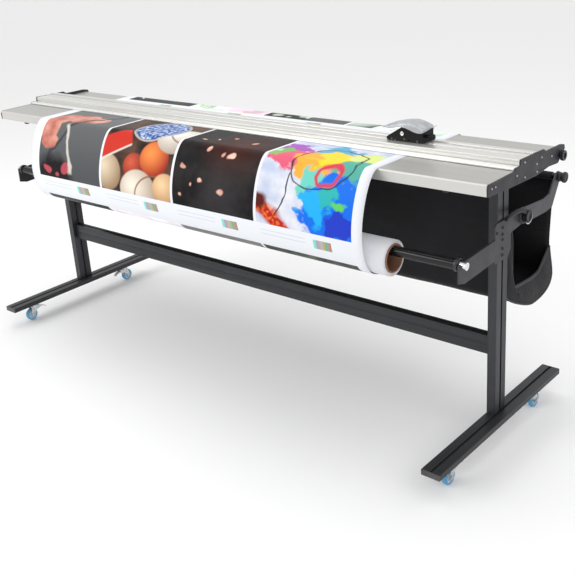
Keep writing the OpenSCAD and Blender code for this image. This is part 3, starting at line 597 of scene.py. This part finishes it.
def smooth_path(points, steps=6):
    """Catmull-Rom curve through points."""
    points = [Vector(p) for p in points]
    made = [points[0]]
    for i in range(len(points) - 1):
        p0, p1 = points[max(i - 1, 0)], points[i]
        p2, p3 = points[i + 1], points[min(i + 2, len(points) - 1)]
        for k in range(1, steps + 1):
            t = k / steps
            made.append(0.5 * (2 * p1 + (p2 - p0) * t + (2 * p0 - 5 * p1 + 4 * p2 - p3) * t * t
                               + (3 * p1 - p0 - 3 * p2 + p3) * t ** 3))
    return made


def arc_lengths(path):
    """How far along a path each of its points is."""
    lengths = [0.0]
    for a, b in zip(path, path[1:]):
        lengths.append(lengths[-1] + (b - a).length)
    return lengths


def resample(path, count):
    """count points evenly spaced along a path, and its length."""
    lengths = arc_lengths(path)
    made, k = [], 0
    for i in range(count):
        s = lengths[-1] * i / (count - 1)
        while k < len(path) - 2 and lengths[k + 1] < s:
            k += 1
        t = (s - lengths[k]) / max(lengths[k + 1] - lengths[k], 1e-9)
        made.append(path[k].lerp(path[k + 1], clamped(t)))
    return made, lengths[-1]


def wobble(x, y, z, seed):
    """Smooth unevenness from about -1 to 1 that is the same each run."""
    return noise.noise(Vector((x + seed * 7.3, y - seed * 3.1, z)))


def middle(node, axis):
    """Middle of a node's box on axis 0, 1 or 2."""
    low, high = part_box(node)
    return (low[axis] + high[axis]) / 2


def half_size(node, axis):
    """Half the size of a node's box on axis 0, 1 or 2."""
    low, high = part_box(node)
    return (high[axis] - low[axis]) / 2


# ---- Materials of the parts ----

BLACK_RUBBER = moulded("black_rubber", (0.014, 0.014, 0.015), 0.55, 900)
BLACK_PLASTIC = moulded("black_plastic", (0.017, 0.018, 0.020), 0.34)
SILVER = brushed("bed_aluminium", (0.66, 0.655, 0.63))
STOCK = white_stock()
PRINT = printed_media()
CLOTH = woven("bag_cloth", (0.0125, 0.0125, 0.0145))
STEEL = plated("zinc_steel", (0.66, 0.67, 0.68))
BRIGHT = plated("turned_steel", (0.80, 0.81, 0.82), 0.16)
KRAFT = cardboard()
ROD_BLACK = anodised("rod_black", (0.010, 0.010, 0.011), "x", 0.2)
LEVER_BLACK = moulded("lever_black", (0.007, 0.007, 0.008), 0.40, Specular_IOR_Level=0.22)
TAPE = woven("binding_tape", (0.040, 0.040, 0.045), 0.6)
COVER = plated("cover_grey", (0.40, 0.42, 0.44), 0.34, 0.30)
NUT = plated("black_nut", (0.10, 0.10, 0.105), 0.35, 0.7)


def tyre_material():
    """Cloudy blue polyurethane that lets some light through."""
    p = Paint("blue_tyre", Transmission_Weight=0.55, IOR=1.45, Specular_IOR_Level=0.5)
    cloud = p.noise(60, 3)
    p.set(Base_Color=p.mix(cloud, (0.10, 0.44, 0.74), (0.24, 0.62, 0.88)))
    return p.set(Roughness=p.span(cloud, 0.3, 0.7, 0.18, 0.3))


def hub_material():
    """Pale, slightly clear plastic."""
    p = Paint("clear_hub", Transmission_Weight=0.25, IOR=1.45)
    cloud = p.noise(90, 3)
    p.set(Base_Color=p.mix(cloud, (0.66, 0.72, 0.78), (0.82, 0.87, 0.92)))
    return p.set(Roughness=p.span(cloud, 0.3, 0.7, 0.15, 0.3))


def paint_cad_nodes():
    """Gives each carried-over CAD node its material and rounded edges."""
    black_x = anodised("black_along_x", (0.030, 0.031, 0.034), "x")
    black_y = anodised("black_along_y", (0.030, 0.031, 0.034), "y")
    column = anodised("column_black", (0.036, 0.037, 0.042), "z")
    plate = powder_coat("charcoal_coat", (0.020, 0.020, 0.025))
    bracket = powder_coat("bracket_coat", (0.032, 0.032, 0.038))
    arm = powder_coat("arm_coat", (0.052, 0.052, 0.060))
    body = moulded("carriage_black", (0.006, 0.006, 0.007), 0.42, Specular_IOR_Level=0.22)
    screw = plated("plate_screw_steel", (0.42, 0.42, 0.43), 0.35, 0.6)
    cap = moulded("cap_plastic", (0.050, 0.050, 0.052), 0.30)
    black_oxide = plated("black_oxide", (0.035, 0.035, 0.038), 0.35, 0.6)
    # The table's front lip gets a painted highlight
    table = brushed("table_aluminium", (0.44, 0.435, 0.415), rough=0.36, lines_scale=900,
                    strength=0.25, metallic=0.55, lip=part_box("front_table")[0].y + 0.003)
    # Each node's material, and the radius of its edges in millimetres
    rules = {
        "foot_left": (black_y, 0.6), "foot_right": (black_y, 0.6),
        "foot_end_caps": (cap, 1.0), "cross_beam": (black_x, 0.6),
        "column_left": (column, 0.6), "column_right": (column, 0.6),
        "table_cradles": (black_y, 0.6), "table_bumpers": (BLACK_RUBBER, 0.8),
        "frame_bolts": (black_oxide, 0.2), "caster_stems": (STEEL, 0.3),
        "front_table": (table, 0.4), "rear_table": (table, 0.4), "bed_beam": (SILVER, 0.3),
        "rail_front": (SILVER, 0.5), "rail_rear": (SILVER, 0.5), "bag_hem_bar": (SILVER, 0.4),
        "pressure_strip": (brushed("strip_aluminium", (0.84, 0.84, 0.81), 0.28), 0.4),
        "cutting_strip": (moulded("cutting_mat", (0.78, 0.78, 0.75), 0.5), 0.2),
        "end_plate_left": (plate, 0.5), "end_plate_right": (plate, 0.5),
        "plate_screws": (screw, 0.15), "carriage_body": (body, 0.8),
        "cutting_blade": (BRIGHT, 0), "blade_axle": (BRIGHT, 0.2),
        "roller_left": (moulded("nylon", (0.72, 0.71, 0.68), 0.4), 0.3),
        "depth_knob": (body, 0.3), "lock_knob_left": (BLACK_PLASTIC, 0.5),
        "lock_knob_right": (BLACK_PLASTIC, 0.5), "side_bracket_left": (bracket, 0.5),
        "side_bracket_right": (bracket, 0.5), "rear_arm_left": (arm, 0.5),
        "rear_arm_right": (arm, 0.5), "hem_rod": (ROD_BLACK, 0.3),
        "media_rod_ends": (BRIGHT, 0.8), "media_core": (KRAFT, 0.3),
    }
    rules["roller_right"] = rules["roller_left"]
    tyre, hub = tyre_material(), hub_material()
    for place in CASTERS:
        rules["fork_" + place] = (STEEL, 0.4)
        rules["brake_" + place] = (STEEL, 0.5)
        rules["tyre_" + place] = (tyre, 0.4)
        rules["hub_" + place] = (hub, 0.3)
    for name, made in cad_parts.items():
        if name in rules:
            material, edge = rules[name]
            made.data.materials.clear()
            made.data.materials.append(material)
            if edge:
                soften(made, edge * MM)


# ---- Media ----

ROD_Y, ROD_Z = middle("media_rod", 1), middle("media_rod", 2)
ROLL_Y, ROLL_Z = middle("media_roll", 1), middle("media_roll", 2)
ROLL_R = half_size("media_roll", 2)
# Thickness that the CAD web has
SHEET = 0.0008


def web_path():
    """The web's middle line in (Y, Z), from behind the roll to behind the rear table."""
    # It clears the roll and the tables by a hair
    r = ROLL_R + 0.0003 + SHEET / 2
    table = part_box("front_table")[1].z + 0.0001 + SHEET / 2
    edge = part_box("rear_table")[1].y - 0.001
    foremost = (-0.287, 0.690)
    landing = -0.203
    path = [Vector((ROLL_Y + r * cos(radians(a)), ROLL_Z + r * sin(radians(a))))
            for a in range(0, -91, -6)]
    path += bezier((ROLL_Y, ROLL_Z - r), (ROLL_Y - 0.057, ROLL_Z - r), (foremost[0], 0.615),
                   foremost, 20)
    path += bezier(foremost, (foremost[0], 0.765), (-0.240, table), (landing, table), 24)
    path += [Vector((landing + (edge - landing) * k / 24, table)) for k in range(1, 25)]
    return path + bezier((edge, table), (edge + 0.022, table), (edge + 0.034, 0.860),
                         (edge + 0.037, 0.806), 12)


def make_web():
    """The printed web. It waves a little where it hangs free, and lies flat on the tables."""
    path = web_path()
    lengths = arc_lengths(path)
    columns = 64
    low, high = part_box("media_web")
    across = [low.x + (high.x - low.x) * j / columns for j in range(columns + 1)]
    points = []
    for i, (at, s) in enumerate(zip(path, lengths)):
        ahead = heading(path, i)
        out = Vector((-ahead.y, ahead.x))
        free = clamped((s - 0.10) / 0.12) * clamped((0.46 - s) / 0.10)
        tail = clamped((s - 0.90) / 0.06)
        for x in across:
            wave = 0.0016 * wobble(x * 2.2, s * 3, 0, 1) * (free + tail)
            points.append((x, at.x + out.x * wave, at.y + out.y * wave))
    faces = [face[::-1] for face in grid_faces(len(path), columns + 1)]
    web = piece("printed_web", points, faces, PRINT, "stand", "paper", ("media_web",))
    uv = web.data.uv_layers.new(name="metres")
    for loop in web.data.loops:
        i, j = divmod(loop.vertex_index, columns + 1)
        uv.data[loop.index].uv = (across[j], lengths[i])
    web.data.materials.append(STOCK)
    solidify(web, SHEET * 0.6)
    web.modifiers["wall"].material_offset = 1
    web.modifiers["wall"].material_offset_rim = 1


def make_roll():
    """Wound media: the layers stand out a little unevenly at both ends."""
    inner = half_size("media_core", 2)
    layers = 22
    half_layer = (ROLL_R - inner) / layers * 0.46
    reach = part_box("media_roll")[1].x - 0.0012
    profile = []
    for side in (-1, 1):
        steps = []
        for k in range(layers):
            radius = inner + (ROLL_R - inner) * (k + 0.5) / layers
            x = side * (reach + 0.0011 * wobble(k * 0.9, side, 0, 4))
            steps += [(x, radius - half_layer), (x, radius + half_layer)]
        profile += steps if side < 0 else steps[::-1]
    points, faces = lathe(profile, (0, ROLL_Y, ROLL_Z), steps=96, closed=True)
    piece("wound_roll", points, faces, STOCK, "roll", "paper", ("media_roll",))


def make_media_rod():
    """Round profile with four slots, and collars that keep it between the brackets."""
    radius = half_size("media_rod_ends", 2) + 0.002
    steps = 72
    slots = [pi / 4 + pi / 2 * k for k in range(4)]
    outline = []
    for k in range(steps):
        a = 2 * pi * k / steps
        in_slot = any(abs((a - slot + pi) % (2 * pi) - pi) < 0.075 for slot in slots)
        r = radius - (0.0022 if in_slot else 0)
        outline.append((r * cos(a), r * sin(a)))
    low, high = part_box("media_rod")
    points = [(x, ROD_Y + a, ROD_Z + b) for x in (low.x, high.x) for a, b in outline]
    faces = grid_faces(2, steps, close_columns=True)
    faces += [tuple(range(steps))[::-1], tuple(range(steps, 2 * steps))]
    rod = piece("slotted_rod", points, faces, ROD_BLACK, "rod", "rod", ("media_rod",))
    soften(rod, 0.0004, 28, weld=False)
    width, outer = 0.011, radius + 0.0038
    collar = [(0, radius - 0.001), (0, outer - 0.001), (0.0003, outer - 0.0003), (0.001, outer),
              (width - 0.001, outer), (width - 0.0003, outer - 0.0003), (width, outer - 0.001),
              (width, radius - 0.001)]
    parts = [lathe(collar, (x, ROD_Y, ROD_Z)) for x in (high.x - width, low.x)]
    piece("rod_collars", *joined(parts), BLACK_PLASTIC, "rod", "rod")


# ---- Catch bag ----

HEM_Y, HEM_Z = middle("hem_rod", 1), middle("hem_rod", 2)
CLOTH_THICK = 0.0014
# The sling's section in (Y, Z): straight down in front, a soft belly, and up to the rear hem
BAG_FRONT = 0.066
SLING = [(BAG_FRONT, 0.448), (0.082, 0.430), (0.130, 0.403), (0.196, 0.374), (0.246, 0.362),
         (0.300, 0.366), (0.348, 0.387), (0.367, 0.414), (0.364, 0.440), (0.349, 0.492),
         (0.342, 0.535), (0.346, 0.600), (0.353, 0.665)]


def sling_path():
    """From the hem bar under the bed down, round the belly, up and round the hem rod."""
    front = [Vector((BAG_FRONT, 0.829 - 0.381 * k / 10)) for k in range(10)]
    sleeve = half_size("hem_rod", 2) + 0.0015
    behind = (HEM_Y + sleeve - 0.001, HEM_Z - 0.012)
    path = front + smooth_path(SLING + [behind], 5)
    return path + [Vector((HEM_Y + sleeve * cos(radians(a)), HEM_Z + sleeve * sin(radians(a))))
                   for a in range(0, 321, 20)]


def bend_with_arms(made):
    """Bakes the piece's placement into its mesh."""
    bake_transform(made)


def bag_wrinkle(x, s):
    """How far the cloth stands off its section at X, s metres along it."""
    slack = clamped((s - 0.30) / 0.25) * clamped((1.05 - s) / 0.25)
    ripple = 0.006 * wobble(x * 1.6, s * 3.2, 0, 2) + 0.0025 * wobble(x * 7, s * 5, 0, 5)
    return ripple * (0.25 + 0.75 * slack)


def make_bag():
    """The sling, and the gussets that close its two ends."""
    rows, columns = 90, 110
    path, length = resample(sling_path(), rows)
    low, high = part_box("catch_bag")
    x0, x1 = low.x + 0.002, high.x - 0.002
    points = []
    for i, at in enumerate(path):
        ahead = heading(path, i)
        out = Vector((-ahead.y, ahead.x))
        s = length * i / (rows - 1)
        belly = clamped((s - 0.45) / 0.2) * clamped((0.95 - s) / 0.2)
        for j in range(columns + 1):
            x = x0 + (x1 - x0) * j / columns
            # The seams at both ends hold the cloth to its section
            pinch = min(1, min(j, columns - j) / 8)
            off = bag_wrinkle(x, s) * pinch if s < length - 0.10 else 0
            sag = 0.006 * sin(pi * j / columns) * belly
            points.append((x, at.x + out.x * off, at.y + out.y * off - sag))
    sling = piece("bag_sling", points, grid_faces(rows, columns + 1), CLOTH, None, "cloth",
                  ("catch_bag",))
    solidify(sling, CLOTH_THICK)
    bend_with_arms(sling)
    for side, name, x in ((-1, "left", x0), (1, "right", x1)):
        make_gusset(path, side, name, x)


# The gussets' upper edge in (Y, Z), from the front to the back
GUSSET_TOP = [(BAG_FRONT, 0.655), (0.094, 0.645), (0.101, 0.600), (0.100, 0.540), (0.099, 0.480),
              (0.108, 0.462), (0.196, 0.452), (0.268, 0.453), (0.300, 0.477), (0.322, 0.494),
              (0.343, 0.512)]


def make_gusset(path, side, name, x):
    """End panel of the sling, lower than its front and back, with bound edges."""
    count, rows = 40, 10
    # The part of the sling's section that the gusset is sewn to, up to these heights
    front_top, rear_top = 0.600, 0.522
    lower = [p for p in path if p.y < (rear_top if p.x > 0.3 else front_top)]
    lower, _ = resample(lower, count)
    upper, _ = resample(smooth_path(GUSSET_TOP, 5), count)
    points = []
    for k in range(rows + 1):
        for i in range(count):
            at = lower[i].lerp(upper[i], k / rows)
            belly = 0.010 * sin(pi * k / rows * 0.9) * sin(pi * i / (count - 1))
            belly += 0.003 * wobble(at.x * 14, at.y * 14, side, 6)
            points.append((x + side * max(belly, -0.002) * 0.8 - side * 0.001, at.x, at.y))
    gusset = piece("bag_gusset_" + name, points, grid_faces(rows + 1, count), CLOTH, None, "cloth")
    solidify(gusset, CLOTH_THICK)
    bend_with_arms(gusset)
    edge = [Vector(p) for p in points[rows * count:]]
    seam = [Vector(p) + Vector((side * 0.001, 0, 0)) for p in points[:count]]
    binding = joined([sweep(edge, ellipse(0.0024, 0.0050)), sweep(seam, ellipse(0.0022, 0.0036))])
    bend_with_arms(piece("bag_binding_" + name, *binding, TAPE, None, "cloth"))


# ---- Carriage ----

# Places along the cover from the carriage's middle, with heights under its top: the ridge,
# and the lower edge on both long sides
COVER_RIDGE = [(-0.084, -0.0235), (-0.072, -0.0180), (-0.054, -0.0112), (-0.036, -0.0072),
               (-0.018, -0.0034), (0.002, -0.0004), (0.019, 0), (0.036, -0.0022),
               (0.052, -0.0072), (0.066, -0.0128), (0.077, -0.0122), (0.0895, -0.0085)]
COVER_EDGE = [(-0.084, -0.0250), (-0.068, -0.0232), (-0.048, -0.0241), (-0.031, -0.0206),
              (-0.013, -0.0160), (0.001, -0.0174), (0.0156, -0.0222), (0.030, -0.0275),
              (0.042, -0.0293), (0.055, -0.0254), (0.070, -0.0165), (0.0895, -0.0095)]


def make_carriage_cover():
    """Thin domed cover with wavy lower edges, a blunt left tip and a fine tail."""
    centre_x, centre_y = middle("carriage_body", 0), middle("carriage_body", 1)
    overhang = 0.0028
    half_y = half_size("carriage_body", 1) + overhang
    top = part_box("carriage_cover")[1].z
    ridge, edge = smooth_path(COVER_RIDGE, 4), smooth_path(COVER_EDGE, 4)
    across = 44
    points = []
    for a, b in zip(ridge, edge):
        half = half_y * (1 - 0.32 * max(-a.x / 0.084, 0) ** 5)
        half *= 1 - 0.86 * clamped((a.x - 0.063) / 0.013) ** 1.3
        for k in range(across + 1):
            t = -1 + 2 * k / across
            # Nearly flat across, then steep at both edges
            drop = abs(t) ** 12
            z = top + a.y + (b.y - a.y) * drop - 0.0003
            points.append((centre_x + a.x, centre_y + half * t, z))
    cover = piece("domed_cover", points, grid_faces(len(ridge), across + 1), COVER, "carriage",
                  "grey_cover", ("carriage_cover",))
    solidify(cover, 0.0016, -1)
    soften(cover, 0.0004, 40, weld=False)
    post = [(0, 0.0001), (0, 0.005), (0.010, 0.005), (0.0105, 0.0001)]
    base_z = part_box("carriage_body")[1].z - 0.001
    parts = [lathe(post, (centre_x + x, centre_y, base_z), "z", 24) for x in (-0.004, 0.036)]
    piece("cover_posts", *joined(parts), STEEL, "carriage", "steel")


def make_carriage_details():
    """Round caps and axle nuts on both long sides of the carriage body."""
    low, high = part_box("carriage_body")
    centre_x = middle("carriage_body", 0)
    roller_r = 0.007
    axle_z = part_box("roller_left")[1].z - roller_r
    cap_z = axle_z + 0.0185
    cap = [(0.0012, 0.0001), (0.0012, 0.003), (0.0022, 0.0034), (0.0022, 0.006), (0.0016, 0.0066),
           (0.0006, 0.0066), (0, 0.0058), (0, 0.0001)]
    nut = [(0.0022, 0.0001), (0.0022, 0.0030), (0.0016, 0.0038), (0, 0.0040)]
    caps, nuts = [], []
    for side, y in ((-1, low.y), (1, high.y)):
        caps.append(lathe(cap, (centre_x - 0.008, y, cap_z), "y", 32, side))
        for x, lift in ((-0.044, 0), (0, 0.003), (0.044, 0)):
            nuts.append(lathe(nut, (centre_x + x, y, axle_z + lift), "y", 6, side))
    piece("bearing_caps", *joined(caps), BRIGHT, "carriage", "steel")
    piece("axle_nuts", *joined(nuts), NUT, "carriage", "steel", smooth=False)


# ---- Brackets and arms ----

def make_hem_knobs():
    """Two-lobed rubber knobs, the outer lobe with grips, that push on to the hem rod's ends."""
    top = half_size("hem_rod_knobs", 2)
    profile = [(0, 0.0115), (0.0005, 0.0128), (0.0030, 0.0145), (0.0060, 0.0148), (0.0088, 0.0138),
               (0.0105, 0.0118), (0.0120, 0.0112), (0.0135, 0.0125), (0.0150, 0.0155),
               (0.0180, top - 0.0004), (0.0220, top - 0.0002), (0.0245, top - 0.0014),
               (0.0257, top - 0.0040), (0.0260, 0.0080), (0.0252, 0.0060), (0.0252, 0.0001)]
    steps, grips = 96, 12
    gripped_rows = range(8, 13)
    low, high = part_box("hem_rod")
    parts = []
    for side, x in ((1, high.x), (-1, low.x)):
        points, faces = lathe(profile, (x, HEM_Y, HEM_Z), steps=steps, sign=side)
        for i, p in enumerate(points):
            row, k = divmod(i, steps)
            if row in gripped_rows:
                scale = 1 - 0.045 * (0.5 + 0.5 * cos(2 * pi * k * grips / steps)) ** 3
                axis = Vector((p.x, HEM_Y, HEM_Z))
                points[i] = axis + (p - axis) * scale
        parts.append((points, faces))
    piece("hem_knobs", *joined(parts), BLACK_RUBBER, "rear_arms", "rubber", ("hem_rod_knobs",))


# Where the clamp levers turn
CLAMP_Y, CLAMP_Z = 0.135, 0.681


def make_clamp_lever(name):
    """Cam clamp on the arm's +X face: a round hub, a light eccentric disc, a long curved lever."""
    pivot = Vector((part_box("clamp_lever_" + name)[0].x, CLAMP_Y, CLAMP_Z))
    hub = [(0.0001, 0.0054), (0.0001, 0.0172), (0.0010, 0.0180), (0.0062, 0.0180), (0.0068, 0.0172),
           (0.0110, 0.0172), (0.0112, 0.0188), (0.0120, 0.0196), (0.0140, 0.0196), (0.0150, 0.0186),
           (0.0154, 0.0170), (0.0154, 0.0100), (0.0146, 0.0090), (0.0146, 0.0001)]
    steps, around = 30, 20
    route = ((0.009, -0.010, 0.010), (0.011, -0.036, 0.036), (0.013, -0.070, 0.038),
             (0.013, -0.138, 0.030))
    path = bezier(*(pivot + Vector(p) for p in route), steps, True)
    handle, faces = sweep(path, ellipse(1, 1, around))
    shaped = []
    for i, p in enumerate(handle):
        at = path[i // around]
        t = (i // around) / steps
        # Flat, a little wider towards its end, and rounded off there
        wide = 0.0064 + 0.0016 * t - 0.0040 * max(0, t - 0.92) / 0.08
        out = p - at
        shaped.append(at + Vector((out.x * 0.0042, out.y * wide, out.z * wide)))
    parts = [lathe(hub, pivot, steps=64), (shaped, faces)]
    piece("cam_lever_" + name, *joined(parts), LEVER_BLACK, "lever_" + name, "black_plastic",
          ("clamp_lever_" + name,))
    disc = [(0.0070, 0.0100), (0.0070, 0.0202), (0.0078, 0.0212), (0.0100, 0.0212), (0.0108, 0.0202),
            (0.0108, 0.0100)]
    points, faces = lathe(disc, pivot + Vector((0, 0.0080, -0.0050)), steps=64)
    piece("cam_disc_" + name, points, faces, STEEL, "lever_" + name, "steel")


# ---- Casters ----

def make_caster_nuts():
    """Hexagon nuts on the ends of the four wheels' axles."""
    nut = [(-0.0004, 0.0001), (0, 0.0046), (-0.0008, 0.0052), (-0.0020, 0.0052)]
    for place in CASTERS:
        low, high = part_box("fork_" + place)
        y, z = middle("tyre_" + place, 1), middle("tyre_" + place, 2)
        parts = [lathe(nut, (x, y, z), steps=6, sign=side) for side, x in ((1, high.x), (-1, low.x))]
        piece("axle_nuts_" + place, *joined(parts), STEEL, "swivel_" + place, "steel",
              smooth=False)


# ---- Floor and build ----

def make_floor():
    """Plain pale floor that reaches far past the view."""
    size = 45
    floor = bpy.data.meshes.new("floor")
    corners = [(-size, -size, 0), (size, -size, 0), (size, size, 0), (-size, size, 0)]
    floor.from_pydata(corners, [], [(0, 1, 2, 3)])
    made = bpy.data.objects.new("floor", floor)
    bpy.context.scene.collection.objects.link(made)
    p = Paint("pale_floor", Specular_IOR_Level=0.2)
    cloud = p.noise(0.6, 2)
    p.set(Base_Color=p.mix(cloud, (0.95, 0.95, 0.95), (0.97, 0.97, 0.97)), Roughness=0.7)
    floor.materials.append(p.material)


make_camera()
make_light()
make_floor()
paint_cad_nodes()
make_web()
make_roll()
make_media_rod()
make_bag()
make_carriage_cover()
make_carriage_details()
make_hem_knobs()
make_clamp_lever("left")
make_clamp_lever("right")
make_caster_nuts()
